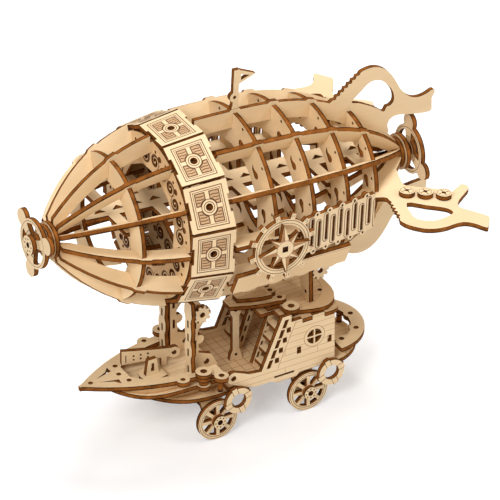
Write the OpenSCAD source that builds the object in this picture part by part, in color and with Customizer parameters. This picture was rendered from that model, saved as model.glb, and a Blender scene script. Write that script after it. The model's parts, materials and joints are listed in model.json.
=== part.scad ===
// Plywood airship model with a boat gondola on wheels

/* [Material] */
// Plywood thickness
ply = 2.5; // [2:0.1:3]
// Clearance on each side of a lap joint
lap_gap = 0.1; // [0.05:0.05:0.2]
// Gap between seated pieces
seat_gap = 0.15; // [0.1:0.05:0.3]
// Radial clearance of a turning shaft
run_gap = 0.05; // [0.02:0.01:0.1]

/* [Envelope] */
// Height of the envelope axis above the floor
axis_height = 127.2; // [124:0.2:134]
// Nose-up tilt of the envelope
pitch = 3; // [0:0.5:4]
// Largest radius of the ribs
env_radius = 48.8; // [46:0.2:50]
// Inner radius of the aft formers as a share of the curve
former_share = 0.62; // [0.6:0.01:0.7]
// Inner radius of the nose former as a share of the curve
nose_former_share = 0.67; // [0.6:0.01:0.72]
// Station of the largest radius
widest_x = -4; // [-8:0.5:0]
// Length of the nose curve
front_length = 105; // [100:0.5:112]
// Length of the tail curve
rear_length = 106.7; // [100:0.1:114]
// Fullness of the nose curve
front_power = 3.3; // [3:0.05:3.6]
// Fullness of the tail curve
rear_power = 2.83; // [2.6:0.01:3.1]
// Radial depth of a rib
rib_depth = 9.5; // [8:0.5:10]
// Smallest radius that the ribs reach
rib_core = 5.6; // [5.4:0.1:6.4]
// Length cut from the tip of the nose curve
nose_cut = 8.5; // [7:0.5:10]
// Length cut from the tip of the tail curve
tail_cut = 6.7; // [6:0.1:8]
// Height of the bump over a former
bump_height = 1; // [0.5:0.1:1.4]
// Inset of a former below the ribs
former_inset = 1.2; // [0.8:0.1:1.6]
// Station of the nose former
nose_former_x = -69; // [-72:0.5:-64]
// Station of the first aft former
aft_former_x = 0.5; // [-2:0.5:3]
// Spacing of the aft formers
aft_former_pitch = 22.2; // [20:0.2:23]

/* [Belt] */
// Middle station of the belt
belt_x = -35.1; // [-36:0.1:-34]
// Outer apothem of the belt at its middle
belt_radius = 47; // [46:0.2:47.6]
// Half cone angle of the belt
belt_taper = 7.8; // [6:0.2:9]
// Length of a belt panel
belt_length = 23; // [21:0.5:24]
// Distance between the two bulkheads
bulkhead_spacing = 19.6; // [18:0.2:19.8]
// Apothem of the polygonal bulkhead opening
bulkhead_opening = 26; // [24:0.5:27]
// Gap between neighbouring panels at their inner edge
panel_gap = 0.3; // [0.2:0.1:0.6]

/* [Propellers] */
// Propeller radius
prop_radius = 19.5; // [18:0.5:21]
// Outer radius of the propeller ring
prop_ring = 13; // [12:0.2:14]
// Width of the propeller ring
prop_ring_width = 2.4; // [2:0.2:3]
// Radius of a blade's round end
blade_round = 4.5; // [3.8:0.1:4.8]
// Shaft radius of a propeller
prop_shaft = 1.5; // [1.2:0.1:1.8]
// Radius of the nose disc
nose_disc_radius = 9.5; // [9:0.5:11]
// Corner radius of the nose polygon plate
nose_plate_radius = 8.4; // [8:0.2:9]
// Radius of the tail disc
tail_disc_radius = 9.5; // [8.5:0.5:10]
// Radius of the inner tail disc
tail_inner_radius = 8; // [7:0.5:8.5]
// Gap between a hub and its propeller spacer
prop_gap = 0.4; // [0.3:0.1:0.8]
// Length of a propeller spacer
prop_spacer = 2.4; // [2:0.2:3.6]
// Length of the tail propeller spacer
tail_spacer = 3.2; // [2.4:0.2:4]

/* [Side pieces] */
// Height of the inner deck above the axis
deck_height = 8; // [7:0.5:9]
// Half width of the inner deck
deck_half = 7; // [6:0.5:9]
// Compass ring radius
compass_radius = 15.7; // [14:0.2:16]
// Station of the compass wheel
compass_x = -1; // [-2:0.5:0]
// Stand-off of the compass ring from the side rib
compass_standoff = 3.6; // [3.4:0.1:4.4]
// Length of a side grille
grille_length = 44; // [40:0.5:45]
// Height of a side grille
grille_height = 20; // [18:0.5:22]
// Station of a side grille
grille_x = 36; // [35.5:0.5:40]
// Station where a side grille touches the side rib
grille_touch = 30; // [26:0.5:34]
// Length of a lower fascia plate
fascia_length = 66; // [60:1:70]
// Width of a lower fascia plate
fascia_width = 13; // [11:0.5:14]
// Radius of a wing button
button_radius = 4; // [3.4:0.1:4.2]

/* [Hull] */
// Top of the gunwale plate
gunwale_top = 40.1; // [39:0.1:42]
// Tip of the bow
bow_x = -86.4; // [-90:0.2:-84]
// Rear end of the gunwale
gunwale_end = -17; // [-18:0.5:-16]
// Beam of the gunwale
beam = 44; // [42:0.5:45]
// Fullness of the gunwale's bow
bow_power = 2.3; // [2:0.05:2.5]
// Fullness of the foredeck's bow
foredeck_power = 6.3; // [5:0.1:7]
// Fullness of the floor's bow
floor_power = 3.2; // [2.8:0.1:3.6]
// Rim width of the gunwale
rim = 5.5; // [5:0.1:6]
// Rear edge of the foredeck
foredeck_end = -13; // [-14:0.5:-12]
// Outer face of the side walls from the centre line
wall_outer = 24.3; // [24:0.1:25]
// Rear edge of the side walls
wall_end = 48; // [47:0.5:49]
// Top of the side walls
wall_top = 57.1; // [56:0.1:58]
// Centre of the round stern
stern_x = 47; // [46:0.5:48]
// Radius of the round stern
stern_radius = 24.2; // [23:0.2:24.2]
// Radius of the stern gallery
gallery_radius = 26; // [25:0.5:27]

/* [Masts] */
// Station of the front masts
mast_x = -30; // [-30.5:0.5:-29.5]
// Middle of a front mast from the centre line
mast_y = 13.5; // [13:0.5:14]
// Width of a front mast
mast_width = 8.5; // [8:0.5:9]
// Station of the rear strut frame
strut_x = 37.3; // [37:0.1:37.6]
// Outer radius of a decorative gear
gear_radius = 5; // [4.6:0.1:5.4]

/* [Wheels] */
// Wheel radius
wheel_radius = 11.3; // [10.6:0.1:11.4]
// Front axle station
front_axle_x = -20; // [-21:0.5:-19]
// Rear axle station
rear_axle_x = 33; // [32:0.5:34]
// Outer face of a wheel from the centre line
wheel_outer = 23.9; // [23.5:0.1:24]
// Axle radius
axle_radius = 1.5; // [1.3:0.1:1.7]
// Outer radius of a lifebuoy
buoy_radius = 8; // [7.4:0.1:8.2]

/* [Hidden] */
$fn = 48;
half = ply / 2;
slot = ply + 2 * lap_gap;
rib_steps = 36;
rib_start = widest_x - front_length + nose_cut;
rib_end = widest_x + rear_length - tail_cut;
rib_pitch = 30;
belt_half = belt_length / 2;
front_bulkhead_x = belt_x - bulkhead_spacing / 2;
rear_bulkhead_x = belt_x + bulkhead_spacing / 2;
stations = [nose_former_x, aft_former_x, aft_former_x + aft_former_pitch,
            aft_former_x + 2 * aft_former_pitch, aft_former_x + 3 * aft_former_pitch];
fin_root = 37.3;
fin_x = rib_end - 96;
fin_r = curve(rib_end - 36) - fin_root;
loop_points = smooth([root(54), [56.5, 39.9], [60, 42.5], [66, 47.6], [72.5, 52.6], [76.4, 54], [80.6, 54.2],
    [85, 52.8], [89.5, 49.4], [93.5, 44], [97.2, 37.6], [101, 33.4], [105, 30.8], [109, 30.2], [113, 31],
    [116.3, 32.5], [118, 31.4], [116.4, 27.4], [116.6, 24], [115.6, 20], [104, 21.2], [97, 22.6],
        [92.6, 21.6],
    [90.8, 18.4], [91.6, 14], root(88), root(78), root(66)], 3);
nose_disc_x = rib_start - lap_gap - ply;
nose_plate_x = nose_disc_x - lap_gap - ply;
nose_spacer_x = nose_plate_x - prop_gap - prop_spacer;
nose_blade_x = nose_spacer_x - lap_gap - ply;
nose_cap_x = nose_blade_x - lap_gap - ply;
tail_disc_x = rib_end + lap_gap;
tail_spacer_x = tail_disc_x + 2 * ply + lap_gap + prop_gap;
tail_blade_x = tail_spacer_x + tail_spacer + lap_gap;
tail_cap_x = tail_blade_x + ply + lap_gap;
cap_radius = 5;
low_x = nose_cap_x * cos(pitch) - cap_radius * sin(pitch);
high_x = max([for (p = loop_points) (p[0] + fin_x) * cos(pitch) + (p[1] + fin_r) * sin(pitch)]);
centre_shift = -(low_x + high_x) / 2;
upper_spacer_z = gunwale_top - 2 * ply;
foredeck_z = gunwale_top - 3 * ply;
foredeck_top = foredeck_z + ply;
floor_z = gunwale_top - 7 * ply;
floor_top = floor_z + ply;
cabin_top = floor_top + ply;
wall_inner = wall_outer - ply;
floor_half = wheel_outer - ply - 0.5;
ring_x = -27.3;
ring_y = 22.3;
lobe_x = -19.4;
lobe_y = 26.7;
roof_z = wall_top - ply;
roof_upper_z = wall_top + lap_gap;
canopy_z = roof_upper_z + ply + lap_gap;
canopy_upper_z = canopy_z + ply + lap_gap;
roof_upper_top = roof_upper_z + ply;
deck_low = deck_height - half;
deck_high = deck_height + half;
face_ply = [0.90, 0.76, 0.55];
warm_ply = [0.86, 0.70, 0.48];
dark_ply = [0.62, 0.42, 0.22];

// Envelope curve and belt cone
function curve(x) = env_radius * (1 - pow(abs(x - widest_x)
                    / (x < widest_x ? front_length : rear_length), x < widest_x ? front_power : rear_power));
function curve_slope(x) = (curve(x + 0.5) - curve(x - 0.5));
function former_inner(i) = curve(stations[i]) * (i == 0 ? nose_former_share : former_share);
function rib_inner(x) = max(rib_core, curve(x) - rib_depth);
function belt_outer(x) = belt_radius + (x - belt_x) * tan(belt_taper);
function belt_inner(x) = belt_outer(x) - ply / cos(belt_taper);
function lap_radius(x) = curve(x) - rib_depth / 2;
function belt_lap(x) = (belt_inner(x) + curve(x) - rib_depth) / 2;
function rib_x(i) = rib_start + (rib_end - rib_start) * i / rib_steps;
function belt_floor(x) = axis_height - x * tan(pitch) - belt_outer(x) / cos(pitch);
function rib_floor(x) = axis_height - x * tan(pitch) - curve(x) / cos(pitch);

// Boat outline
function hull_half(x, bow, stern, width, power) = width / 2 * (1 - pow(1 - (x - bow) / (stern - bow), power));
function hull_edge(bow, stern, width, power, n) = [for (i = [0 : n])
    let (x = bow + (stern - bow) * pow(i / n, 1.5)) [x, max(1, hull_half(x, bow, stern, width, power))]];
function turned(points) = [for (i = [len(points) - 1 : -1 : 0]) points[i]];
function mirrored(edge) = concat([for (p = edge) [p[0], -p[1]]], turned(edge));

// Closed smooth line through hand-placed points
function smooth(p, n) = [for (i = [0 : len(p) - 1]) let (m = len(p), a = p[(i + m - 1) % m], b = p[i],
    c = p[(i + 1) % m], d = p[(i + 2) % m]) for (k = [0 : n - 1]) let (t = k / n)
    0.5 * (2 * b + (c - a) * t + (2 * a - 5 * b + 4 * c - d) * t * t + (3 * b - a - 3 * c + d) * t * t * t)];
function root(x) = [x, curve(x + fin_x) - fin_r - 3];

// Placing
module gondola() { translate([centre_shift, 0, 0]) children(); }
module envelope() { translate([centre_shift, 0, axis_height]) rotate([0, pitch, 0]) children(); }
module radial(angle) { rotate([90 - angle, 0, 0]) children(); }
module upright(thick) { rotate([90, 0, 0]) linear_extrude(thick, center = true) children(); }
module cross(thick) { rotate([90, 0, 90]) linear_extrude(thick) children(); }
module both_sides() { children(); mirror([0, 1, 0]) children(); }

// Envelope ribs
module rib_outline(bumps) {
    difference() {
        union() {
            polygon(concat([for (i = [0 : rib_steps]) [rib_x(i), curve(rib_x(i))]],
                           [for (i = [rib_steps : -1 : 0]) [rib_x(i), rib_inner(rib_x(i))]]));
            for (i = bumps) let (x = stations[i])
                polygon([[x - 4.5, curve(x - 4.5) - 1], [x - 2.2, curve(x - 2.2) + bump_height],
                    [x + 2.2, curve(x + 2.2) + bump_height], [x + 4.5, curve(x + 4.5) - 1]]);
        }
        polygon([for (p = [[-1, 0], [-1, 9], [1, 9], [1, 0]])
            let (x = belt_x + p[0] * (belt_half + 0.9)) [x, belt_inner(x) - seat_gap + p[1]]]);
    }
}
module rib_laps() {
    for (x = stations)
        translate([x - slot / 2, rib_inner(x) - 3])
            square([slot, lap_radius(x) + lap_gap - rib_inner(x) + 3]);
    for (x = [front_bulkhead_x, rear_bulkhead_x])
        translate([x - slot / 2, rib_inner(x) - 3]) square([slot, belt_lap(x) + lap_gap - rib_inner(x) + 3]);
}
module rib_plate() { upright(ply) difference() { rib_outline([0 : 4]); rib_laps(); } }
module plain_ribs(angles) { for (a = angles) radial(a) rib_plate(); }

// Loop fin of the top and bottom ribs, along x and radius
module loop_fin(opened) {
    translate([fin_x, fin_r]) difference() {
        polygon(loop_points);
        if (opened) polygon(smooth([[68.6, 36.9], [74, 42], [77.6, 45.2], [81.4, 46.3], [86, 45],
            [90.4, 40.8],
            [93.2, 36], [93.6, 31.6], [91.8, 29.4], [89.6, 29], [88, 26.6], [84, 29.4], [78, 32.8],
                [73, 35.2]], 3));
        for (i = [0 : 6]) translate([58.4 + 2.2 * i, 41.4 + 1.82 * i]) circle(r = 0.95, $fn = 16);
    }
}
// Forked wing of the side ribs, along x and radius
module forked_wing() {
    translate([fin_x, fin_r]) difference() {
        polygon(smooth([root(60), [63.4, 36.2], [69.1, 39.4], [66.8, 48.6], [64.9, 58.2], [63.7, 61],
            [65.3, 66.5],
            [70.3, 72.6], [76, 75.4], [82, 76], [88, 75.4], [92.4, 76.2], [95.8, 79.4], [98.2, 83.8],
                [99.9, 85.4],
            [102.6, 82], [104.6, 79.2], [105.7, 76.2], [101.6, 69.4], [97.4, 62.6], [99.6, 57.6],
                [105.6, 52.9],
            [111.6, 47.9], [110.2, 43.7], [105, 46.2], [99.8, 48.6], [97.6, 43.6], [90, 37.6], [83.8, 32.6],
            [84.2, 27], root(88), root(74)], 3));
        polygon(smooth([[75.5, 47.6], [83, 53.6], [90.7, 60.4], [91.7, 65.6], [86, 68], [78.7, 68.4],
            [72.8, 64.4],
            [71.8, 58.6]], 3));
        for (i = [0 : 4]) translate([68.1 - 0.7 * i, 43.2 + 3.2 * i]) circle(r = 1.05, $fn = 16);
    }
}
module fin_rib(angle, fin) {
    radial(angle) upright(ply) difference() {
        union() {
            rib_outline(fin == "wing" ? [0, 1, 4] : [0, 1, 2, 3, 4]);
            if (fin == "loop") loop_fin(true);
            if (fin == "full") loop_fin(false);
            if (fin == "wing") forked_wing();
        }
        rib_laps();
    }
}
module rib_top() { color(face_ply) envelope() fin_rib(90, "loop"); }
module rib_bottom() { color(face_ply) envelope() fin_rib(270, "full"); }
module rib_near() { color(face_ply) envelope() fin_rib(0, "wing"); }
module rib_far() { color(face_ply) envelope() fin_rib(180, "wing"); }
module ribs_upper() { color(face_ply) envelope() plain_ribs([30, 60, 120, 150]); }
module ribs_lower() { color(face_ply) envelope() plain_ribs([210, 240, 300, 330]); }

// Formers and bulkheads, slotted over the ribs
module rib_slots(radius, reach) {
    for (i = [0 : 11]) rotate(i * rib_pitch) translate([radius - lap_gap, -slot / 2]) square([reach, slot]);
}
module comma() {
    circle(r = 2, $fn = 24);
    polygon([[0.8, -1.8], [4.4, -0.8], [5.8, 1.7], [3.2, 0.9], [0.8, 1.8]]);
}
module former_at(i) {
    x = stations[i];
    translate([x - half, 0, 0]) rotate([0, 90, 0]) linear_extrude(ply) difference() {
        circle(r = curve(x) - former_inset);
        circle(r = former_inner(i));
        rib_slots(lap_radius(x), 12);
        if (i > 0) for (k = [0 : 11]) rotate(k * rib_pitch + 15) {
            translate([(former_inner(i) + lap_radius(x)) / 2 - 0.6, 1]) rotate(k % 2 == 0 ? 80 : 260) comma();
            translate([lap_radius(x) + 1.2, 0]) circle(r = 0.8, $fn = 16);
        }
    }
}
module scroll() {
    n = 12;
    function at(t, side) = let (a = 430 * t, r = 0.3 + 2.5 * t + side * (0.42 + 0.3 * t)) [r * cos(a),
        r * sin(a)];
    polygon(concat([for (i = [0 : n]) at(i / n, 1)], [for (i = [n : -1 : 1]) at(i / n, -1)]));
}
module bulkhead_at(x) {
    translate([x - half, 0, 0]) rotate([0, 90, 0]) linear_extrude(ply) difference() {
        circle(r = belt_inner(x - half) - seat_gap);
        rotate(rib_pitch / 2) circle(r = bulkhead_opening / cos(15), $fn = 12);
        rib_slots(belt_lap(x), 14);
        for (i = [0 : 11]) rotate(i * rib_pitch + 15) {
            translate([32.4, 4.2]) scroll();
            translate([33.2, -4]) rotate(200) scroll();
            translate([37.4, -0.6]) circle(r = 1.3, $fn = 24);
            for (s = [-1, 1]) translate([38.4, 5.4 * s]) circle(r = 0.85, $fn = 12);
        }
    }
}
module nose_former() { color(face_ply) envelope() former_at(0); }
module bulkhead_front() { color(warm_ply) envelope() bulkhead_at(front_bulkhead_x); }
module bulkhead_rear() { color(warm_ply) envelope() bulkhead_at(rear_bulkhead_x); }
module former_1() { color(face_ply) envelope() former_at(1); }
module former_2() { color(face_ply) envelope() former_at(2); }
module former_3() { color(face_ply) envelope() former_at(3); }
module former_4() { color(face_ply) envelope() former_at(4); }

// Belt of flat panels
function panel_half(x) = (belt_radius - ply / cos(belt_taper) + x * sin(belt_taper)) * tan(15)
    - panel_gap / 2;
module panel() {
    translate([belt_x, 0, belt_radius]) rotate([0, -belt_taper, 0]) translate([0, 0, -ply])
        linear_extrude(ply) difference() {
            polygon([[-belt_half, -panel_half(-belt_half)], [belt_half, -panel_half(belt_half)],
                [belt_half, panel_half(belt_half)], [-belt_half, panel_half(-belt_half)]]);
            for (s = [-1, 1]) translate([s * belt_half, 0]) square([2.4, 9], center = true);
            circle(r = 1.7);
        }
}
module belt_panels() { color(face_ply) envelope() for (i = [0 : 11]) radial(i * rib_pitch) panel(); }

// Hubs and propellers
module disc_x(x, radius, bore, thick, sides) {
    translate([x, 0, 0]) rotate([0, 90, 0]) linear_extrude(thick) difference() {
        circle(r = radius, $fn = sides);
        circle(r = bore);
    }
}
module blade_plate() {
    difference() {
        union() {
            circle(r = 5);
            difference() { circle(r = prop_ring); circle(r = prop_ring - prop_ring_width); }
            for (i = [0 : 2]) rotate(i * 120) {
                translate([prop_radius - blade_round, 0]) circle(r = blade_round);
                polygon([[3, -2], [9, -2.6], [prop_radius - blade_round - 1.4, 0.4 - blade_round],
                    [prop_radius - blade_round, 0], [prop_radius - blade_round - 1.4, blade_round - 0.4],
                    [9, 2.6], [3, 2]]);
            }
        }
        circle(r = prop_shaft);
    }
}
module cap_plate() {
    difference() {
        circle(r = cap_radius);
        circle(r = prop_shaft);
        for (i = [0 : 7]) rotate(i * 45) translate([3.3, 0]) circle(r = 0.5, $fn = 12);
    }
}
module propeller(spacer_x, spacer, blade_x, cap_x, turn) {
    disc_x(spacer_x, 4, prop_shaft, spacer, 48);
    translate([blade_x, 0, 0]) rotate([0, 90, 0]) rotate(turn) linear_extrude(ply) blade_plate();
    translate([cap_x, 0, 0]) rotate([0, 90, 0]) linear_extrude(ply) cap_plate();
}
module shaft_x(from, to) { translate([from, 0, 0]) rotate([0, 90, 0])
    cylinder(r = prop_shaft, h = to - from); }
module nose_disc() { color(warm_ply) envelope()
    disc_x(nose_disc_x, nose_disc_radius, prop_shaft + run_gap, ply, 48); }
module nose_plate() { color(face_ply) envelope()
    disc_x(nose_plate_x, nose_plate_radius, prop_shaft + run_gap, ply, 12); }
module tail_disc() {
    color(warm_ply) envelope() {
        disc_x(tail_disc_x, tail_inner_radius, prop_shaft + run_gap, ply, 48);
        disc_x(tail_disc_x + ply + lap_gap, tail_disc_radius, prop_shaft + run_gap, ply, 48);
    }
}
module nose_propeller() { color(face_ply) envelope()
    propeller(nose_spacer_x, prop_spacer, nose_blade_x, nose_cap_x, 247); }
module nose_shaft() { color(dark_ply) envelope() shaft_x(nose_cap_x, nose_disc_x + ply); }
module tail_propeller() { color(face_ply) envelope()
    propeller(tail_spacer_x, tail_spacer, tail_blade_x, tail_cap_x, 175); }
module tail_shaft() { color(dark_ply) envelope() shaft_x(tail_disc_x, tail_cap_x + ply); }

// Flag on the top rib
module flag() {
    foot = curve(aft_former_x) + bump_height + seat_gap;
    color(face_ply) envelope() translate([aft_former_x, 0, 0]) upright(ply) difference() {
        union() {
            translate([-2, foot]) square([4, 1.6]);
            translate([-1.6, foot]) square([3.2, 22]);
            translate([-0.6, foot + 6.6]) circle(r = 2.7);
            polygon([[1, foot + 13.4], [11, foot + 17.6], [2.2, foot + 21.4], [1, foot + 21.4]]);
        }
        translate([-0.6, foot + 6.6]) circle(r = 0.9, $fn = 16);
        polygon([[2.6, foot + 18.9], [7.4, foot + 17.5], [2.6, foot + 15.6]]);
    }
}

// Inner deck with tabs that reach the rings
function deck_reach(radius) = sqrt(pow(radius - seat_gap, 2) - pow(deck_high, 2));
module inner_deck() {
    color(warm_ply) envelope() translate([0, 0, deck_low]) linear_extrude(ply) difference() {
        union() {
            polygon([[-84, -4.8], [-50, -deck_half], [62, -deck_half], [80, -5], [80, 5], [62, deck_half],
                [-50, deck_half], [-84, 4.8]]);
            for (i = [0 : 4]) translate([stations[i], 0])
                square([6, 2 * deck_reach(former_inner(i))], center = true);
            for (x = [front_bulkhead_x, rear_bulkhead_x]) translate([x, 0])
                square([6, 2 * deck_reach(bulkhead_opening)], center = true);
        }
        for (i = [0 : 14]) translate([-75 + 10.4 * i, 0]) polygon([[-3, -1.8], [3.8, -1.8], [0.9, 1.8]]);
    }
}

// Buttons on the wings
module wing_buttons() {
    color(face_ply) envelope() both_sides() for (i = [0 : 2])
        translate([79.6 + fin_x + 7.8 * i, -(40.6 + fin_r + 5 * i), half + lap_gap]) difference() {
            cylinder(r = button_radius, h = ply);
            cylinder(r = 1, h = 3 * ply, center = true);
        }
}

// Compass wheel on each side rib
compass_back = curve(compass_x) + bump_height + compass_standoff;
module compass_rings() {
    color(face_ply) envelope() both_sides() translate([compass_x, -compass_back - half, 0]) upright(ply)
        difference() {
        union() {
            circle(r = compass_radius);
            for (i = [0 : 11]) rotate(i * 30 + 12) translate([compass_radius - 1, -1.3]) square([4, 2.6]);
        }
        circle(r = compass_radius - 3.4);
    }
}
module star_outline() {
    for (i = [0 : 3]) rotate(i * 90 + 6) {
        polygon([[0, -3.6], [compass_radius - 1.4, 0], [0, 3.6]]);
        rotate(45) polygon([[0, -3], [compass_radius - 4.6, 0], [0, 3]]);
    }
    circle(r = 4.6);
}
module compass_stars() {
    color(face_ply) envelope() both_sides()
        translate([compass_x, -compass_back - ply - lap_gap - half, 0]) upright(ply) difference() {
            star_outline();
            square(3 + 2 * lap_gap, center = true);
        }
}
module compass_pegs() {
    color(dark_ply) envelope() both_sides()
        translate([compass_x - 1.5, -compass_back - 2 * ply, -1.5])
            cube([3, 2 * ply + compass_standoff - seat_gap, 3]);
}

// Slotted grilles, tangent to the side ribs
module grille_outline() {
    difference() {
        union() {
            square([grille_length, grille_height], center = true);
            for (i = [0 : 4]) {
                translate([-15.5 + 8 * i, grille_height / 2]) circle(r = 1.9, $fn = 24);
                translate([-17 + 8 * i, -grille_height / 2]) circle(r = 1.9, $fn = 24);
            }
        }
        for (i = [0 : 8]) translate([-18.4 + 4.6 * i, i % 2 == 0 ? 1.2 : -1.2]) {
            square([1.5, 13.4], center = true);
            for (s = [-1, 1]) translate([0, 6.7 * s]) circle(r = 0.75, $fn = 16);
        }
        for (i = [0 : 4]) {
            translate([-15.5 + 8 * i, grille_height / 2 + 0.3]) circle(r = 0.7, $fn = 12);
            translate([-17 + 8 * i, -grille_height / 2 - 0.3]) circle(r = 0.7, $fn = 12);
        }
    }
}
module side_grilles() {
    lean = atan(curve_slope(grille_touch));
    rise = curve(grille_touch) + (grille_x - grille_touch) * curve_slope(grille_touch) + 2 * seat_gap;
    color(face_ply) envelope() both_sides() translate([grille_x, -rise, 0]) rotate([0, 0, -lean])
        translate([0, -half, 0]) upright(ply) grille_outline();
}
module lower_fascias() {
    lean = atan(curve_slope(10));
    color(warm_ply) envelope() both_sides() radial(-23)
        translate([10, 0, curve(10) * cos(8) + bump_height + 0.5])
        rotate([0, -lean, 0]) linear_extrude(ply) union() {
            translate([-fascia_length / 2, -fascia_width / 2]) square([fascia_length, fascia_width]);
            for (i = [0 : 3]) translate([-24 + 16 * i, 4.6 - fascia_width / 2]) circle(r = 6);
        }
}

// Hull plates
module hull_plate(bow, stern, width, power) {
    polygon(mirrored(hull_edge(bow, stern, width, power, 18)));
}
module gunwale_well() {
    n = 14;
    well = [for (i = [0 : n]) let (x = -60 + (gunwale_end + 1 + 60) * i / n)
        [x, min(5 + 3.6 * i, hull_half(min(x, gunwale_end), bow_x, gunwale_end, beam, bow_power) - rim)]];
    polygon(mirrored(well));
}
module mast_slots() {
    for (s = [-1, 1]) translate([mast_x, mast_y * s]) square([slot, mast_width + 2 * lap_gap], center = true);
}
module gunwale_arm() {
    polygon([[ring_x, 17.5], [gunwale_end, 17.5], [gunwale_end, lobe_y - 1], [lobe_x, lobe_y],
        [-23, lobe_y - 2.6],
        [ring_x, ring_y]]);
}
module gunwale() {
    color(face_ply) gondola() translate([0, 0, gunwale_top - ply]) linear_extrude(ply) difference() {
        union() {
            hull_plate(bow_x, gunwale_end, beam, bow_power);
            gunwale_arm();
            polygon([[ring_x, -ring_y], [-23, 2.6 - lobe_y], [lobe_x, -lobe_y], [gunwale_end, 1 - lobe_y],
                [gunwale_end, -17.5], [ring_x, -17.5]]);
            for (s = [-1, 1]) {
                translate([-38.1, 20.3 * s]) circle(r = 3.5);
                translate([ring_x, ring_y * s]) circle(r = 3.4);
                translate([lobe_x, lobe_y * s]) circle(r = 3.7);
            }
        }
        gunwale_well();
        mast_slots();
        translate([-80, 0]) circle(r = 1.3);
        translate([-63.8, 0]) circle(r = 1.3);
        for (s = [-1, 1]) {
            translate([-61.9, 7.3 * s]) circle(r = 1.3);
            translate([-38.1, 20.3 * s]) circle(r = 1.3);
            translate([lobe_x, lobe_y * s]) circle(r = 1.5);
            polygon([[-76, 1.6 * s], [-66, 4.2 * s], [-66.4, 8 * s], [-69, 4.8 * s]]);
        }
    }
}
module bow_spacer() {
    color(warm_ply) gondola() translate([0, 0, upper_spacer_z]) linear_extrude(ply - lap_gap) difference() {
        hull_plate(bow_x + 17, gunwale_end - 1, beam - 5.4, foredeck_power);
        gunwale_well();
        mast_slots();
    }
}
module foredeck() {
    color(face_ply) gondola() translate([0, 0, foredeck_z]) linear_extrude(ply - lap_gap) union() {
        hull_plate(bow_x + 16, foredeck_end, beam - 0.6, foredeck_power);
        for (s = [-1, 1]) translate([ring_x, ring_y * s]) circle(r = 3.5);
    }
}
module hull_spacer() {
    color(warm_ply) gondola() for (i = [0 : 2]) translate([0, 0, floor_top + i * ply])
        linear_extrude(ply - lap_gap) hull_plate(-48 - 3 * i, foredeck_end - 1, beam - 14 + 3 * i,
            foredeck_power);
}
module floor_plate() {
    color(face_ply) gondola() translate([0, 0, floor_z]) linear_extrude(ply - lap_gap) union() {
        hull_plate(-52, foredeck_end, 2 * floor_half, floor_power);
        translate([foredeck_end - 0.5, -floor_half]) square([wall_end - foredeck_end + 1.5, 2 * floor_half]);
        difference() {
            translate([stern_x, 0]) circle(r = stern_radius, $fn = 96);
            translate([wall_end + 2 * seat_gap - 40, -40]) square([40, 80]);
        }
    }
}

// Tiled cabin floor on the floor plate, between the side walls
module cabin_floor() {
    front = foredeck_end + seat_gap;
    side = wall_inner - seat_gap;
    color(face_ply) gondola() translate([front, -side, floor_top])
        cube([wall_end - 3 * ply - seat_gap - front, 2 * side, ply - lap_gap]);
}

// Foredeck fittings
module bulwark() {
    color(face_ply) gondola() translate([-58.6, 7.2, gunwale_top + lap_gap]) rotate([0, 0, -10])
        upright(ply) difference() {
            union() {
                polygon([[0, 0], [28, 0], [28, 4.6], [20, 5.4], [8, 7], [0, 8.2]]);
                translate([28, 1.8]) circle(r = 3.2);
                translate([21, foredeck_top - gunwale_top - lap_gap]) square([3, 5.4]);
            }
            for (i = [0 : 2]) for (j = [0, 1]) translate([6.4 + 3.8 * i, 2 + 2.2 * j])
                square(1, center = true);
            translate([28, 1.8]) circle(r = 1.3);
            translate([2, 1]) square([0.5, 4.4]);
        }
}
module turret() {
    color(face_ply) gondola() translate([-47.4, -4.2, foredeck_top]) {
        linear_extrude(ply) union() {
            circle(r = 6.4);
            polygon([[0, -6.3], [6.6, -5], [6.4, 3], [0, 6.3]]);
        }
        translate([0, 0, ply + lap_gap]) upright(ply) difference() {
            polygon([[-3.7, 0], [3.7, 0], [2.6, 9], [-2.4, 9]]);
            translate([-0.8, 2]) square([1.8, 4.6]);
        }
    }
}

// Front masts
module mast_outline(top) {
    w = mast_width / 2;
    difference() {
        polygon([[-w, 0], [w, 0], [w - 1, 6], [w - 1.8, 12], [w - 0.6, 15], [w - 0.6, 19], [w - 1.8, 22],
            [w - 0.8, 28], [w - 1.6, 34], [w - 0.4, 38], [w - 1, top], [-w + 1, top], [-w + 0.4, 38],
            [-w + 1.6, 34], [-w + 0.8, 28], [-w + 1.8, 22], [-w + 0.6, 19], [-w + 0.6, 15], [-w + 1.8, 12],
            [-w + 1, 6]]);
        for (z = [3, 13, 22, 30]) translate([-0.7, z]) square([1.4, 4.4]);
    }
}
module mast_fronts() {
    top = belt_floor(mast_x + half) - 3 * seat_gap - foredeck_top;
    color(face_ply) gondola() both_sides() translate([mast_x - half, -mast_y, foredeck_top])
        cross(ply) mast_outline(top);
}
module mast_sides() {
    rear = mast_x + half + seat_gap;
    top = belt_floor(rear) - 1.2;
    color(warm_ply) gondola() both_sides() translate([0, -11, 0]) upright(ply) difference() {
        union() {
            polygon([[rear, foredeck_top], [-14, foredeck_top], [-14, foredeck_top + 2.6],
                [-17, foredeck_top + 9], [-21, foredeck_top + 10.6], [-24.4, foredeck_top + 12],
                [-25, 60], [-22, 64], [-20.4, 70], [-22.6, top - 4], [-26, top], [rear, top]]);
            translate([-24, 55]) circle(r = 2.6);
        }
        translate([-20, foredeck_top + 5.4]) circle(r = 1.6);
        translate([rear + 1.4, 50]) square([1.4, 5]);
        translate([rear + 1.4, 62]) square([1.4, 5]);
    }
}
module gear_outline() {
    difference() {
        union() {
            circle(r = gear_radius - 1.1);
            for (i = [0 : 9]) rotate(i * 36) translate([gear_radius - 1.6, -0.75]) square([1.6, 1.5]);
        }
        circle(r = 1.5);
    }
}
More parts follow.
